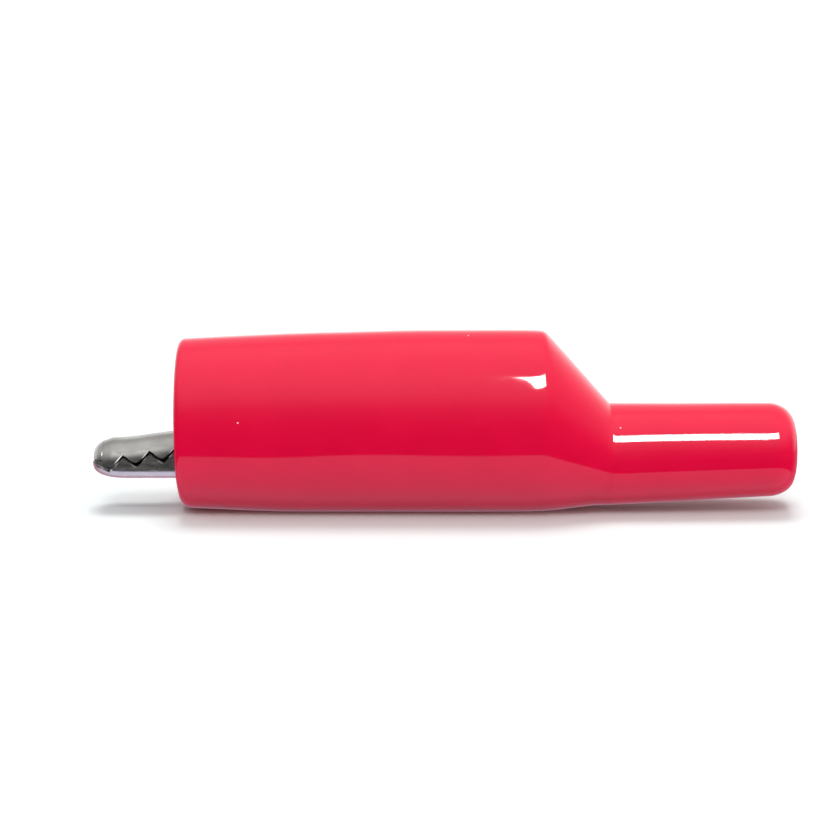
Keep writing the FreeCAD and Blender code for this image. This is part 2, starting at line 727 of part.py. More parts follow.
def spring_shape():
    """Wire swept along the lower leg, the coil and the upper leg, about a pivot at the origin."""
    radius = number("Sizes.spring_coil_diameter / 2")
    wire = number("Sizes.spring_wire / 2")
    gap = number("Sizes.spring_gap")
    upper_run = number("Sizes.upper_leg_reach")
    lower_run = number("Sizes.lower_leg_reach")
    leg_run = "(Sizes.upper_leg_reach + Sizes.ear_radius)"
    underside = f"Sizes.hinge_crown_height + {LEVER_SLOPE} * {leg_run}"
    upper_rise = number(f"{underside} - Sizes.sheet_gauge - Sizes.pivot_height") - wire - gap
    lower_rise = number(f"Sizes.pivot_height - {LEG_FLOOR} - Sizes.sheet_gauge") - wire - gap
    upper = leg_slope(upper_run, upper_rise, radius)
    lower = leg_slope(lower_run, lower_rise, radius)
    turns = SPRING_TURNS + 0.5 - (upper + lower) / (2 * math.pi)
    half_width = number("Sizes.spring_pitch") * turns / 2
    coil = Part.makeHelix(number("Sizes.spring_pitch"), 2 * half_width, radius)
    coil.rotate(FreeCAD.Vector(0, 0, 0), FreeCAD.Vector(1, 0, 0), -90)
    coil.rotate(FreeCAD.Vector(0, 0, 0), FreeCAD.Vector(0, 1, 0), 90 + math.degrees(lower))
    coil.translate(FreeCAD.Vector(0, -half_width, 0))
    lower_length = math.sqrt(lower_run ** 2 + lower_rise ** 2 - radius ** 2)
    upper_length = math.sqrt(upper_run ** 2 + upper_rise ** 2 - radius ** 2)
    lower_start = FreeCAD.Vector(-radius * math.sin(lower), -half_width, -radius * math.cos(lower))
    upper_start = FreeCAD.Vector(-radius * math.sin(upper), half_width, radius * math.cos(upper))
    lower_way = FreeCAD.Vector(math.cos(lower), 0, -math.sin(lower))
    upper_way = FreeCAD.Vector(math.cos(upper), 0, math.sin(upper))
    lower_end = lower_start + lower_way * lower_length
    upper_end = upper_start + upper_way * upper_length
    path = Part.Wire([
        Part.makeLine(lower_end, lower_start),
        coil.Edges[0],
        Part.makeLine(upper_start, upper_end),
    ])
    section = Part.Wire([Part.makeCircle(wire, lower_end, lower_way)])
    return path.makePipeShell([section], True, True)


def torsion_spring():
    """Coil round the rivet; one leg bears on the lower stamping's floor, one under the lever."""
    spring = doc.addObject("Part::Feature", "torsion_spring")
    spring.Shape = spring_shape()
    bind(spring, ".Placement.Base.x", PIVOT)
    bind(spring, ".Placement.Base.z", size("pivot_height"))
    return spring


# ---------------------------------------------------------------- terminal

def clamp_washer():
    """Square washer that the terminal screw carries down on the wire."""
    body = new_body("clamp_washer")
    half = "(Sizes.washer_side / 2)"
    inner = f"({half} - Sizes.washer_corner)"
    square = outline(body, "WasherOutline", "XY_Plane", None, [
        (f"-{inner}", f"-{half}"),
        (inner, f"-{half}"),
        (half, f"-{inner}"),
        (half, inner),
        (inner, half),
        (f"-{inner}", half),
        (f"-{half}", inner),
        (f"-{half}", f"-{inner}"),
    ])
    pad(body, "Washer", square, size("washer_height"))
    hole = circle_sketch(body, "WasherHole", "XY_Plane", None, ("0", "0"), HOLE_RADIUS)
    pocket_across(body, "WasherHoleCut", hole, "4 * Sizes.washer_height")
    bind(body, ".Placement.Base.x", TERMINAL)
    bind(body, ".Placement.Base.z", WASHER_BOTTOM)
    return body


def terminal_screw():
    """Slotted pan-head screw; its shank passes the washer and the tapped floor of the terminal."""
    body = new_body("terminal_screw")
    shank = "(Sizes.screw_diameter / 2)"
    head = "(Sizes.screw_head_diameter / 2)"
    drop = f"({WASHER_BOTTOM} + Sizes.washer_height - {NECK_FLOOR} + Sizes.screw_end_drop)"
    lead_in = "(Sizes.screw_diameter / 8)"
    dome = "Sizes.screw_dome"
    profile = outline(body, "ScrewProfile", "XZ_Plane", None, [
        ("0", f"-{drop}"),
        (f"{shank} - {lead_in}", f"-{drop}"),
        (shank, f"-{drop} + {lead_in}"),
        (shank, "0"),
        (head, "0"),
        (head, f"Sizes.screw_head_height - {dome}"),
        (f"{head} - {dome}", "Sizes.screw_head_height"),
        ("0", "Sizes.screw_head_height"),
    ])
    revolve(body, "Screw", profile, "Z_Axis")
    slot = outline(body, "SlotOutline", "XY_Plane", size("screw_head_height"), [
        (f"-{head} - {dome}", "-Sizes.slot_width / 2"),
        (f"{head} + {dome}", "-Sizes.slot_width / 2"),
        (f"{head} + {dome}", "Sizes.slot_width / 2"),
        (f"-{head} - {dome}", "Sizes.slot_width / 2"),
    ])
    cut = body.newObject("PartDesign::Pocket", "SlotCut")
    cut.Profile = slot
    bind(cut, "Length", size("slot_depth"))
    bind(body, ".Placement.Base.x", TERMINAL)
    washer_top = f"{WASHER_BOTTOM} + Sizes.washer_height"
    bind(body, ".Placement.Base.z", f"{washer_top} + Sizes.running_clearance")
    return body


# ---------------------------------------------------------------- build, check and write

BUILDERS = [
    insulating_boot,
    fixed_jaw_frame,
    moving_jaw_lever,
    pivot_rivet,
    torsion_spring,
    clamp_washer,
    terminal_screw,
]


def main():
    nodes = [build() for build in BUILDERS]
    doc.recompute()
    faults = [item.Label for item in doc.Objects if {"Invalid", "Error"} & set(item.State)]
    if faults:
        raise RuntimeError(f"objects that failed: {faults}")
    os.makedirs("parts", exist_ok=True)
    for node in nodes:
        shape = node.Shape
        if shape.isNull() or not shape.isValid():
            raise RuntimeError(f"bad shape: {node.Label}")
        print(node.Label, "solids", len(shape.Solids), "volume", round(shape.Volume, 1))
        shape.exportStep(f"parts/{node.Label}.step")


main()
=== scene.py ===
import math

import bpy
import numpy as np
from mathutils import Matrix, Vector, noise


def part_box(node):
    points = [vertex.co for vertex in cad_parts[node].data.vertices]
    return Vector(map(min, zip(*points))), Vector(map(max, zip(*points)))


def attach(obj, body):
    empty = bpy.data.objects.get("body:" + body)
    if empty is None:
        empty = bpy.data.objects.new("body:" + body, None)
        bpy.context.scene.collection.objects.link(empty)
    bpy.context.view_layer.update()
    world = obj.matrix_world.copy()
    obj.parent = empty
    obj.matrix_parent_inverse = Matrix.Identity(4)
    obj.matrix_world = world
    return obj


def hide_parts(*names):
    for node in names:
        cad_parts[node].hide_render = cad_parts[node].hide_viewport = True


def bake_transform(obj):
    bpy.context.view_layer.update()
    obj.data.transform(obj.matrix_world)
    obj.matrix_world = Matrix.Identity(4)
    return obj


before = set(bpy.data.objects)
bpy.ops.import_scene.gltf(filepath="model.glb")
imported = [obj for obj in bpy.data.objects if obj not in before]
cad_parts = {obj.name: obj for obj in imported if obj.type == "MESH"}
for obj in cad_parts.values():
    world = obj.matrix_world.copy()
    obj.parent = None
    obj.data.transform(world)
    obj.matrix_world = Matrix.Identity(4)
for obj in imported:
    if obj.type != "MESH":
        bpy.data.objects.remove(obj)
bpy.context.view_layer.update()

MM = 0.001

# ---------------------------------------------------------------- sizes, in millimetres


def node_box(name):
    """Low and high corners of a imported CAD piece."""
    low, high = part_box(name)
    return [value / MM for value in low], [value / MM for value in high]


BOOT_LOW, BOOT_HIGH = node_box("insulating_boot")
FRAME_LOW, FRAME_HIGH = node_box("fixed_jaw_frame")
LEVER_HIGH = node_box("moving_jaw_lever")[1]
RIVET_LOW, RIVET_HIGH = node_box("pivot_rivet")
SPRING_HIGH = node_box("torsion_spring")[1]
WASHER_LOW, WASHER_HIGH = node_box("clamp_washer")
SCREW_LOW, SCREW_HIGH = node_box("terminal_screw")

# the boot, from its mouth to the end of its tail
MOUTH = BOOT_LOW[0]
SWELL = MOUTH + 14.0
BARREL_END = MOUTH + 35.55
SHOULDER_END = BARREL_END + 6.4
BOOT_END = BOOT_HIGH[0]
WALL = 1.25
SKIN_INSET = 0.03
BOOT_TOP = BOOT_HIGH[2] - SKIN_INSET
BOOT_HALF = BOOT_HIGH[1] - SKIN_INSET
MOUTH_HALF = BOOT_HALF - 0.4
SWELL_HALF = BOOT_HALF - 0.15
MOUTH_TOP = BOOT_TOP - 0.85
SWELL_TOP = BOOT_TOP - 0.22
BARREL_TOP = BOOT_TOP - 0.02
MOUTH_LIFT = 0.45
UNDERSIDE = 0.35
SHOULDER_HALF = 4.85
SHOULDER_TOP = 10.4
SHOULDER_BOTTOM = 0.55
TAIL_ROOT_RADIUS = 5.0
TAIL_ROOT_AXIS = 5.37
TAIL_TIP_RADIUS = 4.52
TAIL_TIP_AXIS = 5.85

# the clip inside it
CLIP_AXIS = 5.6
CLIP_END = FRAME_HIGH[0]
NOSE = FRAME_LOW[0]
GAUGE = 0.7
PIVOT_X = (RIVET_LOW[0] + RIVET_HIGH[0]) / 2
PIVOT_Z = (RIVET_LOW[2] + RIVET_HIGH[2]) / 2
TERMINAL_X = (SCREW_LOW[0] + SCREW_HIGH[0]) / 2

# the boot's hollow
SEAT_RADIUS = 2.85
LEAD_RADIUS = 2.6
SEAT_END = CLIP_END + 0.25
HOLLOW_END = BARREL_END - 0.45 * WALL
SEAT_START = SHOULDER_END - 0.7 * WALL


# ---------------------------------------------------------------- mesh helpers

def mesh_piece(name, points, faces, sharp_angle=35):
    """A smooth-shaded object from points in millimetres, with creases over sharp_angle kept."""
    mesh = bpy.data.meshes.new(name)
    mesh.from_pydata([(x * MM, y * MM, z * MM) for x, y, z in points], [], faces)
    mesh.validate()
    mesh.shade_smooth()
    mesh.set_sharp_from_angle(angle=math.radians(sharp_angle))
    mesh.update()
    piece = bpy.data.objects.new(name, mesh)
    bpy.context.scene.collection.objects.link(piece)
    return piece


def ring_faces(rings, count, closed_ends=False):
    """Quads between consecutive rings of the same number of points, each ring closed."""
    faces = []
    for row in range(rings - 1):
        for column in range(count):
            after = (column + 1) % count
            faces.append((
                row * count + column,
                row * count + after,
                (row + 1) * count + after,
                (row + 1) * count + column,
            ))
    if closed_ends:
        faces.append(tuple(reversed(range(count))))
        faces.append(tuple((rings - 1) * count + column for column in range(count)))
    return faces


def quarter_turn(steps, first=0):
    """(sine, one less the cosine) of even steps round a quarter turn."""
    for step in range(first, steps + 1):
        turn = math.pi / 2 * step / steps
        yield math.sin(turn), 1 - math.cos(turn)


def lerp(a, b, share):
    return a + (b - a) * share


def clamp01(value):
    return min(1.0, max(0.0, value))


def smoothstep(low, high, value):
    share = clamp01((value - low) / (high - low))
    return share * share * (3 - 2 * share)


def soft_min(a, b, size):
    """The smaller of two values, with the corner between them rounded over about size."""
    return (a + b - math.sqrt((a - b) ** 2 + size ** 2)) / 2


def soft_max(a, b, size):
    """The larger of two values, with the corner between them rounded over about size."""
    return (a + b + math.sqrt((a - b) ** 2 + size ** 2)) / 2


def spaced(low, high, step):
    """Even places from low to high, about a step apart."""
    count = max(2, int(round((high - low) / step)) + 1)
    return list(np.linspace(low, high, count))


# ---------------------------------------------------------------- boot

BOOT_SIDES = 160
RIM_ROUND = 0.6
UNDER_RIM_ROUND = 0.5
CREASE = 0.32
JUNCTION = 0.1
KEEL = 0.2
TAIL_END_WALL = 1.9
TAIL_ROUND = 2.4
TAIL_CORNER = 1.8
BORE_ROUND = 0.3
GROUND_EASE = 0.05
FLAT_BELOW = 1.0
WAVE_DEPTH = 0.05
WAVE_ALONG = 0.11
WAVE_ROUND = 1.3

# where the rings of the skin and of the hollow stand: from, to, spacing
SKIN_SECTIONS = [
    (MOUTH + 1.5, BARREL_END - 2.0, 0.9),
    (BARREL_END - 1.8, BARREL_END + 1.6, 0.1),
    (BARREL_END + 1.9, SHOULDER_END - 0.8, 0.4),
    (SHOULDER_END - 0.6, SHOULDER_END + 0.6, 0.06),
    (SHOULDER_END + 1.0, BOOT_END - TAIL_ROUND, 0.8),
]
BORE_SECTION = (BOOT_END - 0.8, SEAT_END + 0.01, 1.2)
HOLLOW_SECTIONS = [
    (CLIP_END - 0.4, SEAT_START, 0.8),
    (SHOULDER_END - 0.8 * WALL - 0.3, BARREL_END - 0.4, 0.5),
    (BARREL_END - 0.8, MOUTH + 1.5, 1.2),
]


def through(a, b, c, x):
    """Quadratic through three (x, value) stations."""
    total = 0.0
    stations = (a, b, c)
    for here in stations:
        term = here[1]
        for other in stations:
            if other is not here:
                term *= (x - other[0]) / (here[0] - other[0])
        total += term
    return total


def slope_line(a, b, x):
    """Straight line through two (x, value) stations."""
    return a[1] + (b[1] - a[1]) * (x - a[0]) / (b[0] - a[0])


def boot_limits(x):
    """Half width, top and bottom of the boot's outer skin at x."""
    tail_share = max(0.0, (x - SHOULDER_END) / (BOOT_END - SHOULDER_END))
    radius = lerp(TAIL_ROOT_RADIUS, TAIL_TIP_RADIUS, tail_share)
    axis = lerp(TAIL_ROOT_AXIS, TAIL_TIP_AXIS, tail_share)
    barrel_width = through((MOUTH, MOUTH_HALF), (SWELL, SWELL_HALF), (BARREL_END, BOOT_HALF), x)
    barrel_top = through((MOUTH, MOUTH_TOP), (SWELL, SWELL_TOP), (BARREL_END, BARREL_TOP), x)
    lift = MOUTH_LIFT * (1 - smoothstep(MOUTH - 1.0, MOUTH + 12.0, x))
    shoulder_width = slope_line((BARREL_END, BOOT_HALF), (SHOULDER_END, SHOULDER_HALF), x)
    shoulder_top = slope_line((BARREL_END, BOOT_TOP), (SHOULDER_END, SHOULDER_TOP), x)
    shoulder_bottom = slope_line((BARREL_END, -UNDERSIDE), (SHOULDER_END, SHOULDER_BOTTOM), x)
    width = soft_min(barrel_width, shoulder_width, CREASE)
    top = soft_min(barrel_top, shoulder_top, CREASE)
    bottom = soft_max(lift - UNDERSIDE, shoulder_bottom, KEEL)
    return (
        soft_max(width, radius, JUNCTION),
        soft_max(top, axis + radius, JUNCTION),
        soft_min(bottom, axis - radius, JUNCTION),
    )


def hollow_limits(x):
    """Half width, top and bottom of the room inside the boot at x."""
    if x < HOLLOW_END:
        width, top, bottom = boot_limits(min(x, BARREL_END - 1.5))
        return width - WALL, top - WALL, bottom + WALL
    if x < SEAT_START:
        share = (x - HOLLOW_END) / (SEAT_START - HOLLOW_END)
        width, top, bottom = hollow_limits(HOLLOW_END - 0.01)
        return (
            lerp(width, SEAT_RADIUS, share),
            lerp(top, CLIP_AXIS + SEAT_RADIUS, share),
            lerp(bottom, CLIP_AXIS - SEAT_RADIUS, share),
        )
    bore = SEAT_RADIUS if x < SEAT_END else LEAD_RADIUS
    return bore, CLIP_AXIS + bore, CLIP_AXIS - bore


def rim_rounding(angle):
    """The mouth's edge is worn rounder on the underside than on top."""
    return RIM_ROUND + UNDER_RIM_ROUND * smoothstep(0.35, 1.0, -math.cos(angle))


def oval_point(limits, angle):
    """Point of an upright oval at an angle from its top."""
    width, top, bottom = limits
    middle = (top + bottom) / 2
    return width * math.sin(angle), middle + (top - bottom) / 2 * math.cos(angle)


def boot_ring(x, share):
    """Closed ring at x, a share of the way from the outer skin to the inner one."""
    outer = boot_limits(x)
    inner = hollow_limits(x)
    at_rim = x < MOUTH + RIM_ROUND + 0.001
    place, part = x, share
    ring = []
    for side in range(BOOT_SIDES):
        angle = 2 * math.pi * side / BOOT_SIDES
        if at_rim:
            rounding = rim_rounding(angle)
            if part > 0.5:
                rounding = min(RIM_ROUND, 0.95 * WALL - rounding)
                share = 1 - (1 - part) * rounding / RIM_ROUND
            else:
                share = part * rounding / RIM_ROUND
            x = MOUTH + (place - MOUTH) * rounding / RIM_ROUND
        out_y, out_z = oval_point(outer, angle)
        in_y, in_z = oval_point(inner, angle)
        out_z = soft_max(out_z, 0.0, GROUND_EASE)
        spot = (x * WAVE_ALONG, math.sin(angle) * WAVE_ROUND, math.cos(angle) * WAVE_ROUND)
        swell = WAVE_DEPTH * noise.noise(Vector(spot)) * (1 - share)
        y = lerp(out_y, in_y, share) + swell * math.sin(angle)
        z = lerp(out_z, in_z, share) + (swell * math.cos(angle) if out_z > FLAT_BELOW else 0.0)
        ring.append((x, y, max(z, 0.0)))
    return ring


def boot_path():
    """Way round the boot's wall as (x, share): along the skin, into the tail, back and out of the mouth."""
    path = []
    for section in SKIN_SECTIONS:
        path += [(x, 0.0) for x in spaced(*section)]
    for sine, drop in quarter_turn(12, 1):
        path.append((BOOT_END - TAIL_ROUND * (1 - sine), TAIL_CORNER / TAIL_END_WALL * drop))
    for sine, drop in quarter_turn(6):
        path.append((BOOT_END - BORE_ROUND * drop, 1 - BORE_ROUND / TAIL_END_WALL * (1 - sine)))
    path += [(x, 1.0) for x in spaced(*BORE_SECTION)]
    path.append((SEAT_END - 0.01, 1.0))
    for section in HOLLOW_SECTIONS:
        path += [(x, 1.0) for x in spaced(*section)]
    rim = [(MOUTH + RIM_ROUND * (1 - sine), RIM_ROUND / WALL * drop) for sine, drop in quarter_turn(8)]
    path += [(x, 1 - share) for x, share in rim]
    path += reversed(rim)
    return path


def build_boot():
    path = boot_path()
    points = []
    for x, share in path:
        points += boot_ring(x, share)
    faces = ring_faces(len(path), BOOT_SIDES)
    last = (len(path) - 1) * BOOT_SIDES
    for column in range(BOOT_SIDES):
        after = (column + 1) % BOOT_SIDES
        faces.append((last + column, last + after, after, column))
    return mesh_piece("boot_skin", points, faces, sharp_angle=60)


# ---------------------------------------------------------------- stampings

# teeth
TOOTH_PITCH = 2.6
FIRST_TOOTH = 3.06
TOOTH_DEPTH = 1.1
TEETH = 5
TEETH_START = FIRST_TOOTH - TOOTH_PITCH / 2
BITE_END = FIRST_TOOTH + TEETH * TOOTH_PITCH
TEETH_END = BITE_END - TOOTH_PITCH / 2
BITE_HEIGHT = 4.3
BITE_RISE = 0.16
BITE_GAP = 0.42
POINT_SOFTNESS = 1.6
SOFT_SHARE = 0.35

# lips, ears and walls that the cut edges follow
LOWER_LIP = 4.98
UPPER_LIP = 5.15
UPPER_LIP_RISE = 0.1
UPPER_LIP_END = TEETH_START - 0.75
FRAME_EAR = 2.2
EAR_FALL = 1.45
NECK_WALL_TOP = 4.2
LEVER_EAR = 2.0
LEVER_STEP = 4.4
LEVER_STEP_HEIGHT = 10.1
LEVER_END_DEPTH = 1.9


def tooth_wave(distance, round_off):
    """Zigzag from -1 in the valleys to 1 on the crests, with softened points."""
    phase = (distance - FIRST_TOOTH) / TOOTH_PITCH
    saw = 1 - 4 * abs(phase - round(phase))
    soft = math.tanh(saw * POINT_SOFTNESS / round_off) / math.tanh(POINT_SOFTNESS / round_off)
    return soft * SOFT_SHARE + saw * (1 - SOFT_SHARE)


def bite(distance):
    """Height of the line where the jaws meet."""
    return BITE_HEIGHT + BITE_RISE * distance


def ear_depth(x, radius):
    """How far a round ear reaches from the pivot's height at x."""
    return math.sqrt(max(0.0, radius ** 2 - (x - PIVOT_X) ** 2))


def lower_edge(x):
    """Height of the lower stamping's upper edge."""
    distance = x - NOSE
    if distance < TEETH_START:
        return lerp(LOWER_LIP, bite(distance) - TOOTH_DEPTH / 2, distance / TEETH_START)
    if distance < TEETH_END:
        return bite(distance) + TOOTH_DEPTH / 2 * tooth_wave(distance, 1.0)
    if abs(x - PIVOT_X) <= FRAME_EAR:
        return PIVOT_Z + ear_depth(x, FRAME_EAR)
    if x < PIVOT_X:
        return bite(BITE_END) - 0.3
    return max(NECK_WALL_TOP, PIVOT_Z - (x - PIVOT_X - FRAME_EAR) * EAR_FALL)


def upper_edge(x):
    """Height of the upper stamping's lower edge."""
    distance = x - NOSE
    if distance < UPPER_LIP_END:
        return UPPER_LIP + UPPER_LIP_RISE * distance
    if distance < TEETH_END:
        wave = tooth_wave(distance, 0.8)
        return bite(distance) + BITE_GAP + TOOTH_DEPTH / 2 * (wave if wave > 0 else 0.75 * wave)
    if abs(x - PIVOT_X) <= LEVER_EAR:
        return PIVOT_Z - ear_depth(x, LEVER_EAR)
    if x < PIVOT_X:
        return bite(BITE_END) + 0.15
    rear_start = PIVOT_X + LEVER_EAR
    rear_mid = rear_start + LEVER_STEP
    if x < rear_mid:
        return lerp(PIVOT_Z, LEVER_STEP_HEIGHT, (x - rear_start) / LEVER_STEP)
    share = (x - rear_mid) / (LEVER_HIGH[0] - rear_mid)
    return lerp(LEVER_STEP_HEIGHT, LEVER_HIGH[2] - LEVER_END_DEPTH, share)


def stations_value(stations, x):
    """Straight runs between (x, value) stations, level beyond the first and the last."""
    if x <= stations[0][0]:
        return stations[0][1]
    for left, right in zip(stations, stations[1:]):
        if x <= right[0]:
            return slope_line(left, right, x)
    return stations[-1][1]


def blurred(stations, x, reach):
    """The stations' value averaged over a short reach, which rounds the bends between the runs."""
    steps = 4
    total = 0.0
    for step in range(-steps, steps + 1):
        total += stations_value(stations, x + reach * step / steps)
    return total / (2 * steps + 1)


def nose_swell(distance, length, blunt):
    """Growth from a blunt nose to the full section over length."""
    share = clamp01(distance / length)
    return lerp(blunt, 1.0, math.sqrt(max(0.0, 1 - (1 - share) ** 2)))


CHANNEL_HALF = FRAME_HIGH[1]
CHANNEL_LEAD = 4.84
CHANNEL_TAIL = 3.3
LEVER_HALF = CHANNEL_HALF - GAUGE - 0.15
LEVER_LEAD = 6.6
LEVER_END_HALF = 3.1
NECK_HALF = 3.4
NECK_LEAD = 3.15
NECK_TAIL = 2.4
SOCKET_RADIUS = CLIP_AXIS - FRAME_LOW[2]
SOCKET_START = CLIP_END - 7.8
SOCKET_SEAM = 0.16
JAW_HALF = 2.4
FLOOR = 3.3

# (x, half width) and (x, height) stations of the two stampings
FRAME_WIDTHS = [
    (NOSE, JAW_HALF),
    (MOUTH + 1.8, JAW_HALF),
    (PIVOT_X - CHANNEL_LEAD, CHANNEL_HALF),
    (PIVOT_X + CHANNEL_TAIL, CHANNEL_HALF),
    (TERMINAL_X - NECK_LEAD, NECK_HALF),
    (TERMINAL_X + NECK_TAIL, NECK_HALF),
    (SOCKET_START - 0.2, SOCKET_RADIUS),
]
FRAME_FLOORS = [
    (NOSE, FLOOR),
    (PIVOT_X + CHANNEL_TAIL, FLOOR),
    (TERMINAL_X - NECK_LEAD, FRAME_LOW[2]),
]
LEVER_WIDTHS = [
    (NOSE, JAW_HALF),
    (MOUTH, JAW_HALF),
    (PIVOT_X - LEVER_LEAD, LEVER_HALF),
    (PIVOT_X + CHANNEL_TAIL, LEVER_HALF),
    (LEVER_HIGH[0], LEVER_END_HALF),
]
LEVER_CROWNS = [
    (NOSE, 6.9),
    (NOSE + 3.2, 6.95),
    (MOUTH, 7.7),
    (PIVOT_X - LEVER_LEAD, 9.3),
    (PIVOT_X - 2.2, 10.85),
    (LEVER_HIGH[0], LEVER_HIGH[2] - 0.02),
]

# points of a half section: across the flat, round the bend, along the wall
FLAT_POINTS = 6
TROUGH_BEND_POINTS = 12
TROUGH_WALL_POINTS = 24
HOOD_BEND_POINTS = 16
HOOD_WALL_POINTS = 20


def bend_and_wall(flat, radius, centre, edge, down, bend_points, wall_points):
    """Points round a bend and along the wall beyond it; down is 1 for a hood and -1 for a trough."""
    reach = down * (edge - centre)
    full_turn = math.pi / 2
    if reach > 0:
        full_turn = math.acos(min(1.0, max(0.0, reach / radius)))
    points = []
    for step in range(bend_points + 1):
        turn = full_turn * step / bend_points
        points.append((flat + radius * math.sin(turn), centre + down * radius * math.cos(turn)))
    side, foot = points[-1]
    for step in range(1, wall_points + 1):
        points.append((side, lerp(centre, edge, step / wall_points) if reach < 0 else foot))
    return points


def trough_side(x, inset):
    """Half section of the lower stamping from its floor's middle to its edge: (y, z) points."""
    distance = x - NOSE
    half = blurred(FRAME_WIDTHS, x, 1.2) * nose_swell(distance, 2.2, 0.45)
    floor = blurred(FRAME_FLOORS, x, 1.2) + 0.95 * (1 - nose_swell(distance, 3.4, 0.0))
    rolled = smoothstep(SOCKET_START - 1.6, SOCKET_START - 0.1, x)
    bend = min(lerp(1.0, SOCKET_RADIUS, rolled), half - 0.02)
    flat = half - bend
    radius = bend - inset
    centre = floor + bend
    points = [(flat * step / FLAT_POINTS, floor + inset) for step in range(FLAT_POINTS)]
    if x > SOCKET_START:
        steps = TROUGH_BEND_POINTS + TROUGH_WALL_POINTS
        for step in range(steps + 1):
            turn = (math.pi - SOCKET_SEAM / SOCKET_RADIUS) * step / steps
            points.append((flat + radius * math.sin(turn), centre - radius * math.cos(turn)))
        return points
    return points + bend_and_wall(
        flat, radius, centre, lower_edge(x), -1, TROUGH_BEND_POINTS, TROUGH_WALL_POINTS)


def hood_side(x, inset):
    """Half section of the upper stamping from its crown's middle to its edge."""
    distance = x - NOSE - 0.02
    half = blurred(LEVER_WIDTHS, x, 1.0) * nose_swell(distance, 2.0, 0.35)
    edge = upper_edge(x)
    crown = lerp(edge + 0.25, blurred(LEVER_CROWNS, x, 0.9), nose_swell(distance, 2.1, 0.0))
    bend = min(lerp(2.05, 1.3, smoothstep(PIVOT_X, LEVER_HIGH[0], x)), half - 0.02)
    flat = half - bend
    radius = max(bend - inset, 0.02)
    points = [(flat * step / FLAT_POINTS, crown - inset) for step in range(FLAT_POINTS)]
    return points + bend_and_wall(
        flat, radius, crown - bend, edge, 1, HOOD_BEND_POINTS, HOOD_WALL_POINTS)


def stamping_xs(start, end, breaks):
    """Sections along a stamping: close together over the teeth and on both sides of each break."""
    places = spaced(start, end, 0.35)
    places += spaced(NOSE + 0.02, NOSE + BITE_END, 0.1)
    places += spaced(PIVOT_X - 2.3, PIVOT_X + 2.3, 0.12)
    places += [NOSE + FIRST_TOOTH + tooth * TOOTH_PITCH / 2 for tooth in range(-1, 2 * TEETH)]
    for x in breaks:
        places += [x - 0.012, x + 0.012]
    return [x for x in sorted({round(float(x), 4) for x in places}) if start <= x <= end]


def stamped_piece(name, xs, side, shift=None):
    """Sheet-metal piece: an outer and an inner skin, joined round every cut edge."""
    points = []
    rows = []
    for x in xs:
        outer = side(x, 0.0)
        inner = side(x, GAUGE)
        loop = [(-y, z) for y, z in reversed(outer)] + outer[1:]
        loop += [(y, z) for y, z in reversed(inner)] + [(-y, z) for y, z in inner[1:]]
        start = len(points)
        for y, z in loop:
            points.append((x + (shift(x, y) if shift else 0.0), y, z))
        rows.append((start, len(loop)))
    count = rows[0][1]
    faces = ring_faces(len(xs), count)
    half = count // 2
    inner_faces = [half - 1 < index % count < count - 1 for index in range(len(faces))]
    for start, flip in ((rows[0][0], True), (rows[-1][0], False)):
        for column in range(half - 1):
            a = start + column
            b = start + column + 1
            c = start + count - 2 - column
            d = start + count - 1 - column
            faces.append((a, d, c, b) if flip else (a, b, c, d))
    piece = mesh_piece(name, points, faces, sharp_angle=38)
    return piece, inner_faces


def lever_end_shift(x, y):
    """Rounds the corners of the thumb lever's end."""
    share = smoothstep(LEVER_HIGH[0] - 3.0, LEVER_HIGH[0], x)
    return -1.1 * share * abs(y / LEVER_END_HALF) ** 4


def build_frame_stamping():
    breaks = [PIVOT_X - FRAME_EAR, PIVOT_X + FRAME_EAR, SOCKET_START, NOSE + TEETH_END]
    xs = stamping_xs(NOSE + 0.01, CLIP_END - 0.01, breaks)
    return stamped_piece("lower_jaw_stamping", xs, trough_side)


def build_lever_stamping():
    breaks = [PIVOT_X - LEVER_EAR, PIVOT_X + LEVER_EAR, NOSE + UPPER_LIP_END]
    xs = stamping_xs(NOSE + 0.12, LEVER_HIGH[0] - 0.01, breaks)
    return stamped_piece("upper_jaw_stamping", xs, hood_side, lever_end_shift)


# ---------------------------------------------------------------- rivet, spring, terminal

def lathe(name, profile, place, axis, sides=64, sharp_angle=40):
    """Solid of revolution from (radius, along) points; axis is "Y" or "Z"."""
    points = []
    for radius, along in profile:
        for side in range(sides):
            angle = 2 * math.pi * side / sides
            a = radius * math.cos(angle)
            b = radius * math.sin(angle)
            local = (a, along, b) if axis == "Y" else (a, b, along)
            points.append(tuple(place[i] + local[i] for i in range(3)))
    faces = ring_faces(len(profile), sides, closed_ends=True)
    return mesh_piece(name, points, faces, sharp_angle)


def build_rivet():
    """Tube rivet with a rolled head at each end and a blind bore."""
    shank, shank_end = 1.2, 3.84
    head, head_start = 2.0, 3.95
    roll_centre, roll = 1.35, 0.63
    bore = 0.6
    end = RIVET_HIGH[1]
    half_profile = [(shank, 0.0), (shank, shank_end), (head - 0.02, shank_end + 0.02), (head, head_start)]
    for sine, drop in quarter_turn(8, 1):
        half_profile.append((roll_centre + roll * (1 - drop), head_start + (end - head_start - 0.03) * sine))
    half_profile += [
        (1.0, end - 0.02), (bore + 0.14, end - 0.12), (bore + 0.02, end - 0.35),
        (bore, end - 0.8), (0.02, end - 0.85),
    ]
    profile = [(radius, -along) for radius, along in reversed(half_profile)] + half_profile[1:]
    return lathe("pivot_tube_rivet", profile, (PIVOT_X, 0, PIVOT_Z), "Y")


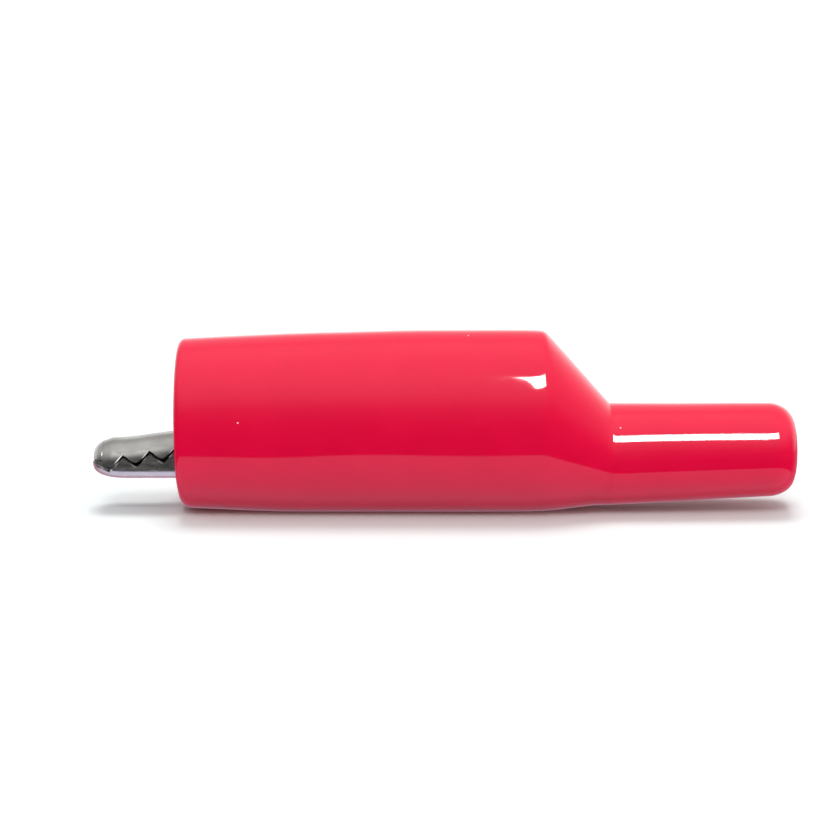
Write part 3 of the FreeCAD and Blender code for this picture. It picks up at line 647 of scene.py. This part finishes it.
def wire_tube(name, path, radius, sides=14):
    """Round wire along a path of points, with domed ends."""
    dome = [(-0.6, 0.55), (-0.35, 0.85)]
    centres = [Vector(point) for point in path]
    last = len(centres) - 1
    across = None
    rings = []
    for index, centre in enumerate(centres):
        along = (centres[min(index + 1, last)] - centres[max(index - 1, 0)]).normalized()
        if across is None:
            across = along.orthogonal().normalized()
        across = (across - along * across.dot(along)).normalized()
        rings.append((centre, along, across, along.cross(across), radius))
    head, tail = rings[0], rings[-1]
    for out, share in reversed(dome):
        rings.insert(0, (head[0] + head[1] * (out * radius), *head[1:4], radius * share))
        rings.append((tail[0] - tail[1] * (out * radius), *tail[1:4], radius * share))
    points = []
    for centre, _, across, up, size in rings:
        for side in range(sides):
            angle = 2 * math.pi * side / sides
            points.append(tuple(centre + (across * math.cos(angle) + up * math.sin(angle)) * size))
    return mesh_piece(name, points, ring_faces(len(rings), sides, closed_ends=True), sharp_angle=50)


def leg_slope(run, rise, radius):
    """Slope of a straight leg that leaves a coil's rim and ends at run, rise from its centre."""
    return math.acos(radius / math.hypot(run, rise)) - math.atan2(run, rise)


def build_spring():
    """Coil round the rivet: the lower leg rests on the floor, the upper one under the lever."""
    coil = 1.95
    wire = 0.35
    pitch = 0.78
    full_turns = 3.5
    coil_steps = 150
    leg_steps = 24
    upper_run = SPRING_HIGH[0] - PIVOT_X - 0.1
    upper_rise = SPRING_HIGH[2] - PIVOT_Z - wire
    lower_run = 7.6
    lower_rise = PIVOT_Z - 4.13
    upper = leg_slope(upper_run, upper_rise, coil)
    lower = leg_slope(lower_run, lower_rise, coil)
    turns = full_turns - (upper + lower) / (2 * math.pi)
    half = pitch * turns / 2
    begin = -math.pi / 2 - lower
    path = []
    for step in range(coil_steps + 1):
        share = step / coil_steps
        angle = begin - 2 * math.pi * turns * share
        y = lerp(-half, half, share)
        path.append((PIVOT_X + coil * math.cos(angle), y, PIVOT_Z + coil * math.sin(angle)))
    lower_length = math.sqrt(lower_run ** 2 + lower_rise ** 2 - coil ** 2)
    upper_length = math.sqrt(upper_run ** 2 + upper_rise ** 2 - coil ** 2)
    first = path[0]
    last = path[-1]
    front = []
    for step in range(leg_steps, 0, -1):
        reach = lower_length * step / leg_steps
        front.append((first[0] + math.cos(lower) * reach, first[1], first[2] - math.sin(lower) * reach))
    rear = []
    for step in range(1, leg_steps + 1):
        reach = upper_length * step / leg_steps
        rear.append((last[0] + math.cos(upper) * reach, last[1], last[2] + math.sin(upper) * reach))
    return wire_tube("torsion_spring_wire", front + path + rear, wire), half


def build_washer():
    """Square washer with rounded corners, softened edges and a hole."""
    sides = 96
    squareness = 7
    hole = 1.3
    edge = 0.08
    half = (WASHER_HIGH[0] - WASHER_LOW[0]) / 2
    low, high = WASHER_LOW[2], WASHER_HIGH[2]
    rings = [
        (hole, low + edge, True), (hole + edge, low, True),
        (half - edge, low, False), (half, low + edge, False),
        (half, high - edge, False), (half - edge, high, False),
        (hole + edge, high, True), (hole, high - edge, True),
    ]
    points = []
    for size, z, is_round in rings:
        for side in range(sides):
            angle = 2 * math.pi * side / sides
            cosine, sine = math.cos(angle), math.sin(angle)
            stretch = 1.0
            if not is_round:
                stretch = (abs(cosine) ** squareness + abs(sine) ** squareness) ** (-1 / squareness)
            points.append((TERMINAL_X + size * stretch * cosine, size * stretch * sine, z))
    faces = ring_faces(len(rings), sides)
    last = (len(rings) - 1) * sides
    for side in range(sides):
        after = (side + 1) % sides
        faces.append((last + side, last + after, after, side))
    return mesh_piece("square_clamp_washer", points, faces, sharp_angle=30)


def build_screw():
    """Pan-head screw with a sawn slot and a rolled thread."""
    core, thread, shank, head = 1.02, 1.22, 1.2, 2.0
    threads = 5
    round_off = 0.4
    slot_size = (6.0, 0.6, 1.4)
    slot_turn = 24
    under = WASHER_HIGH[2] + 0.05
    top = SCREW_HIGH[2]
    low = SCREW_LOW[2]
    thread_pitch = (under - low - 0.35) / threads
    profile = [(0.01, low), (0.85, low), (1.0, low + 0.15)]
    for turn in range(threads):
        z = low + 0.2 + turn * thread_pitch
        profile += [
            (core, z), (thread, z + thread_pitch * 0.45),
            (thread, z + thread_pitch * 0.6), (core, z + thread_pitch * 0.98),
        ]
    profile += [(shank, under - 0.08), (shank, under), (head - 0.06, under), (head, under + 0.06)]
    profile.append((head, top - round_off))
    for sine, drop in quarter_turn(8, 1):
        profile.append((head - round_off * drop, top - round_off + 0.9 * round_off * sine))
    profile += [(0.8, top - 0.01), (0.01, top)]
    screw = lathe("terminal_pan_screw", profile, (TERMINAL_X, 0, 0), "Z", sides=72, sharp_angle=32)
    slot = cutter_box("slot_cutter", (TERMINAL_X, 0, top), slot_size, slot_turn)
    cut = screw.modifiers.new("slot", "BOOLEAN")
    cut.object = slot
    cut.operation = "DIFFERENCE"
    cut.solver = "EXACT"
    apply_modifiers(screw)
    bpy.data.objects.remove(slot)
    return screw


def cutter_box(name, centre, size, turn):
    """Box about a centre, turned about Z by some degrees."""
    spin = Matrix.Rotation(math.radians(turn), 3, "Z")
    points = []
    for x in (-0.5, 0.5):
        for y in (-0.5, 0.5):
            for z in (-0.5, 0.5):
                corner = Vector((x * size[0], y * size[1], z * size[2]))
                points.append(tuple(spin @ corner + Vector(centre)))
    faces = [(0, 1, 3, 2), (4, 6, 7, 5), (0, 4, 5, 1), (2, 3, 7, 6), (0, 2, 6, 4), (1, 5, 7, 3)]
    return mesh_piece(name, points, faces)


def apply_modifiers(piece):
    """Replaces the piece's mesh by what its modifiers make of it."""
    graph = bpy.context.evaluated_depsgraph_get()
    finished = bpy.data.meshes.new_from_object(piece.evaluated_get(graph))
    piece.modifiers.clear()
    piece.data = finished


# ---------------------------------------------------------------- materials

class Nodes:
    """Short names for building one material's nodes."""

    def __init__(self, name):
        self.material = bpy.data.materials.new(name)
        self.material.use_nodes = True
        self.tree = self.material.node_tree
        self.tree.nodes.clear()
        self.out = self.add("ShaderNodeOutputMaterial")
        self.shader = self.add("ShaderNodeBsdfPrincipled")
        self.link(self.shader.outputs[0], self.out.inputs["Surface"])
        self.place = self.add("ShaderNodeTexCoord").outputs["Object"]

    def add(self, kind, **values):
        node = self.tree.nodes.new(kind)
        for key, value in values.items():
            setattr(node, key, value)
        return node

    def link(self, source, target):
        self.tree.links.new(source, target)

    def set(self, **values):
        for key, value in values.items():
            self.shader.inputs[key.replace("_", " ")].default_value = value

    def noise(self, scale, detail=4.0, stretch=(1, 1, 1)):
        mapping = self.add("ShaderNodeMapping")
        mapping.inputs["Scale"].default_value = stretch
        self.link(self.place, mapping.inputs["Vector"])
        texture = self.add("ShaderNodeTexNoise")
        texture.inputs["Scale"].default_value = scale
        texture.inputs["Detail"].default_value = detail
        self.link(mapping.outputs[0], texture.inputs["Vector"])
        return texture.outputs["Fac"]

    def ramp(self, source, stops):
        ramp = self.add("ShaderNodeValToRGB")
        elements = ramp.color_ramp.elements
        while len(elements) < len(stops):
            elements.new(0.5)
        for element, (position, colour) in zip(elements, stops):
            element.position = position
            element.color = colour if isinstance(colour, tuple) else (colour, colour, colour, 1)
        self.link(source, ramp.inputs["Fac"])
        return ramp.outputs["Color"]

    def bump(self, source, strength, distance, under=None):
        bump = self.add("ShaderNodeBump")
        bump.inputs["Strength"].default_value = strength
        bump.inputs["Distance"].default_value = distance
        self.link(source, bump.inputs["Height"])
        if under is not None:
            self.link(under, bump.inputs["Normal"])
        return bump.outputs["Normal"]


def vinyl_material():
    """Glossy dip-moulded vinyl: deep red, faintly mottled, with a soft orange-peel and rare dust."""
    nodes = Nodes("boot_vinyl_red")
    nodes.set(Coat_Weight=0.0, Subsurface_Weight=0.0, IOR=1.5, Specular_IOR_Level=0.5)
    mottle = nodes.noise(scale=260.0, detail=3.0)
    tint = nodes.ramp(mottle, [(0.3, (0.605, 0.0010, 0.034, 1)), (0.7, (0.635, 0.0014, 0.037, 1))])
    grain = nodes.add("ShaderNodeTexVoronoi")
    grain.inputs["Scale"].default_value = 230.0
    grain.inputs["Randomness"].default_value = 1.0
    nodes.link(nodes.place, grain.inputs["Vector"])
    dust = nodes.ramp(grain.outputs["Distance"], [(0.012, 1.0), (0.02, 0.0)])
    mix = nodes.add("ShaderNodeMix", data_type="RGBA")
    mix.inputs["B"].default_value = (0.9, 0.75, 0.75, 1)
    nodes.link(dust, mix.inputs["Factor"])
    nodes.link(tint, mix.inputs["A"])
    nodes.link(mix.outputs["Result"], nodes.shader.inputs["Base Color"])
    haze = nodes.noise(scale=900.0, detail=5.0)
    nodes.link(nodes.ramp(haze, [(0.25, 0.035), (0.8, 0.08)]), nodes.shader.inputs["Roughness"])
    peel = nodes.noise(scale=420.0, detail=2.0)
    wave = nodes.noise(scale=90.0, detail=1.0)
    waves = nodes.bump(wave, strength=0.05, distance=0.0002)
    skin = nodes.bump(peel, strength=0.03, distance=0.00005, under=waves)
    nodes.link(skin, nodes.shader.inputs["Normal"])
    return nodes.material


def plated_material(name, colours, roughness, stretch=(1, 1, 1)):
    """Plated steel: drawn grain along the piece, cloudy plating and fine pits."""
    nodes = Nodes(name)
    nodes.set(Metallic=1.0)
    cloud = nodes.noise(scale=600.0, detail=6.0)
    colour = nodes.ramp(cloud, [(0.3, (*colours[0], 1)), (0.7, (*colours[1], 1))])
    nodes.link(colour, nodes.shader.inputs["Base Color"])
    grain = nodes.noise(scale=2200.0, detail=6.0, stretch=stretch)
    rough = nodes.ramp(grain, [(0.3, roughness[0]), (0.75, roughness[1])])
    nodes.link(rough, nodes.shader.inputs["Roughness"])
    pits = nodes.noise(scale=3000.0, detail=4.0)
    drawn = nodes.bump(grain, strength=0.12, distance=0.00002)
    pitted = nodes.bump(pits, strength=0.10, distance=0.00002, under=drawn)
    nodes.link(pitted, nodes.shader.inputs["Normal"])
    return nodes.material


def dress(piece, material, inside=None, inner_faces=()):
    """Gives a piece its material, and its inner faces another one."""
    piece.data.materials.clear()
    piece.data.materials.append(material)
    if inside is not None:
        piece.data.materials.append(inside)
        for face, is_inner in zip(piece.data.polygons, inner_faces):
            face.material_index = 1 if is_inner else 0


# ---------------------------------------------------------------- making the object

# darker and lighter colour of each plating's clouds
NICKEL = [(0.62, 0.62, 0.58), (0.80, 0.80, 0.74)]
# the upper jaw's plating is the same nickel as above, painted darker: painted shade and painted reflection
# of the red boot and the dark studio
UPPER_NICKEL_PAINTED_SHADE = [(0.36, 0.35, 0.335), (0.47, 0.46, 0.44)]
# inner faces of the stampings: the same nickel painted near black, painted shade inside the channels
SHADED_NICKEL = [(0.10, 0.095, 0.09), (0.2, 0.19, 0.18)]
RIVET_PLATE = [(0.52, 0.50, 0.48), (0.64, 0.62, 0.60)]
SPRING_STEEL = [(0.32, 0.32, 0.33), (0.45, 0.45, 0.46)]
ZINC = [(0.58, 0.58, 0.55), (0.72, 0.71, 0.66)]
ALONG_X = (0.25, 1, 1)


def make_object():
    vinyl = vinyl_material()
    nickel = plated_material("nickel_plate", NICKEL, (0.20, 0.38), ALONG_X)
    # darker copy of the nickel for the upper stamping's outside: painted shade
    painted_shade_upper = plated_material("nickel_plate_upper_painted_shade", UPPER_NICKEL_PAINTED_SHADE, (0.22, 0.40), ALONG_X)
    # near-black nickel for the stampings' inner faces: painted shade
    painted_shade_inside = plated_material("nickel_plate_inside_painted_shade", SHADED_NICKEL, (0.4, 0.6), ALONG_X)
    rivet_plate = plated_material("rivet_plate", RIVET_PLATE, (0.22, 0.36))
    spring_wire = plated_material("spring_wire", SPRING_STEEL, (0.22, 0.40))
    zinc = plated_material("zinc_plate", ZINC, (0.24, 0.42))

    boot = build_boot()
    dress(boot, vinyl)
    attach(boot, "boot")
    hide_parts("insulating_boot")

    lower, inner_faces = build_frame_stamping()
    dress(lower, nickel, painted_shade_inside, inner_faces)
    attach(lower, "clip_frame")
    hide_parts("fixed_jaw_frame")

    upper, inner_faces = build_lever_stamping()
    dress(upper, painted_shade_upper, painted_shade_inside, inner_faces)
    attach(upper, "upper_jaw")
    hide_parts("moving_jaw_lever")

    rivet = build_rivet()
    dress(rivet, rivet_plate)
    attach(rivet, "clip_frame")
    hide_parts("pivot_rivet")

    spring, half = build_spring()
    dress(spring, spring_wire)
    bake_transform(spring)
    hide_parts("torsion_spring")

    washer = build_washer()
    dress(washer, zinc)
    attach(washer, "washer")
    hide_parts("clamp_washer")

    screw = build_screw()
    dress(screw, zinc)
    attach(screw, "screw")
    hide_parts("terminal_screw")


# ---------------------------------------------------------------- studio

def sky_ramp(tree, source, stops):
    """Colour ramp over the sine of the elevation, from (degrees, grey or colour) stops."""
    ramp = tree.nodes.new("ShaderNodeValToRGB")
    elements = ramp.color_ramp.elements
    while len(elements) < len(stops):
        elements.new(0.5)
    for element, (degrees, level) in zip(elements, stops):
        element.position = (math.sin(math.radians(degrees)) + 1) / 2
        element.color = (*level, 1) if isinstance(level, tuple) else (level, level, level, 1)
    tree.links.new(source, ramp.inputs["Fac"])
    return ramp.outputs["Color"]


FLOOR_GLOW = (0.78, 0.72, 0.95)
FLOOR_SHADE = (0.58, 0.3, 0.4)
FRONT_SKY = [
    (-90, FLOOR_GLOW), (-33, FLOOR_GLOW), (-31, 0.03), (-10, 0.05),
    (5, 0.12), (15, 0.25), (35, 0.8), (60, 0.95), (90, 1.1),
]
BACK_SKY = [
    (-90, FLOOR_SHADE), (-8, FLOOR_SHADE), (0, 1.3), (12, 1.2), (30, 0.7), (60, 0.7), (90, 1.1),
]


def make_world():
    """Soft white tent: dim towards the low front, bright overhead and behind.

    Below the horizon it stands in for the floor in reflections: lit in front, shaded behind.
    """
    world = bpy.data.worlds.new("studio")
    bpy.context.scene.world = world
    world.use_nodes = True
    tree = world.node_tree
    tree.nodes.clear()
    out = tree.nodes.new("ShaderNodeOutputWorld")
    background = tree.nodes.new("ShaderNodeBackground")
    tree.links.new(background.outputs[0], out.inputs[0])
    coordinates = tree.nodes.new("ShaderNodeTexCoord")
    split = tree.nodes.new("ShaderNodeSeparateXYZ")
    tree.links.new(coordinates.outputs["Generated"], split.inputs[0])
    height = tree.nodes.new("ShaderNodeMath")
    height.operation = "MULTIPLY_ADD"
    height.inputs[1].default_value = 0.5
    height.inputs[2].default_value = 0.5
    tree.links.new(split.outputs["Z"], height.inputs[0])
    front = sky_ramp(tree, height.outputs[0], FRONT_SKY)
    back = sky_ramp(tree, height.outputs[0], BACK_SKY)
    behind = tree.nodes.new("ShaderNodeMapRange")
    behind.interpolation_type = "SMOOTHSTEP"
    behind.inputs["From Min"].default_value = -0.1
    behind.inputs["From Max"].default_value = 0.45
    tree.links.new(split.outputs["Y"], behind.inputs["Value"])
    mix = tree.nodes.new("ShaderNodeMix")
    mix.data_type = "RGBA"
    tree.links.new(behind.outputs["Result"], mix.inputs["Factor"])
    tree.links.new(front, mix.inputs["A"])
    tree.links.new(back, mix.inputs["B"])
    tree.links.new(mix.outputs["Result"], background.inputs["Color"])
    background.inputs["Strength"].default_value = 1.0


LIT_HEIGHT = 0.008


def add_light(name, data, towards):
    """Light object that shines against the towards direction."""
    light = bpy.data.objects.new(name, data)
    bpy.context.scene.collection.objects.link(light)
    light.rotation_euler = (-Vector(towards)).to_track_quat("-Z", "Y").to_euler()
    return light


def area_light(name, towards, distance, width, height, power):
    """Rectangular soft light that looks at the object from a direction."""
    data = bpy.data.lights.new(name, "AREA")
    data.shape = "RECTANGLE"
    data.size = width
    data.size_y = height
    data.energy = power
    light = add_light(name, data, towards)
    light.location = Vector((0, 0, LIT_HEIGHT)) + Vector(towards) * distance
    return light


def sun_light(name, towards, strength, spread):
    """Even light from a direction, so the floor stays white all the way back."""
    data = bpy.data.lights.new(name, "SUN")
    data.energy = strength
    data.angle = math.radians(spread)
    return add_light(name, data, towards)


def direction(azimuth, elevation):
    """Unit vector: azimuth 0 is the front (-Y), positive towards +X."""
    turn = math.radians(azimuth)
    rise = math.radians(elevation)
    return (math.sin(turn) * math.cos(rise), -math.cos(turn) * math.cos(rise), math.sin(rise))


def make_floor():
    reach = 6.0
    corners = [(-reach, -reach, 0), (reach, -reach, 0), (reach, reach, 0), (-reach, reach, 0)]
    mesh = bpy.data.meshes.new("floor")
    mesh.from_pydata(corners, [], [(0, 1, 2, 3)])
    floor = bpy.data.objects.new("floor", mesh)
    bpy.context.scene.collection.objects.link(floor)
    nodes = Nodes("floor_white")
    nodes.set(Base_Color=(0.645, 0.675, 0.675, 1), Roughness=0.9, Specular_IOR_Level=0.0)
    dress(floor, nodes.material)
    floor.visible_glossy = False


def make_camera():
    """Side view from a little above: the jaws to the left, the tail to the right."""
    elevation = math.radians(12.0)
    distance = 0.215
    target = Vector((-0.00229, 0.0, 0.00876))
    data = bpy.data.cameras.new("camera")
    data.sensor_width = 36.0
    data.lens = 94.2
    data.clip_start = 0.01
    data.clip_end = 50.0
    camera = bpy.data.objects.new("camera", data)
    bpy.context.scene.collection.objects.link(camera)
    camera.location = target + Vector((0, -math.cos(elevation), math.sin(elevation))) * distance
    camera.rotation_euler = (math.radians(90.0) - elevation, 0, 0)
    bpy.context.scene.camera = camera


def make_studio():
    make_world()
    make_floor()
    strip = area_light("strip", direction(22.5, 45), distance=0.9, width=0.34, height=0.22, power=9.0)
    strip.visible_diffuse = False
    for light in (
        sun_light("key", direction(-10, 54), strength=0.95, spread=22.0),
        area_light("side", direction(75, 12), distance=0.8, width=0.4, height=0.3, power=2.0),
        area_light("fill", direction(0, 6), distance=0.8, width=0.8, height=0.15, power=1.0),
        sun_light("overhead", direction(180, 76), strength=1.8, spread=25.0),
    ):
        light.visible_glossy = False
    bpy.context.scene.view_settings.view_transform = "Standard"
    make_camera()


make_object()
make_studio()
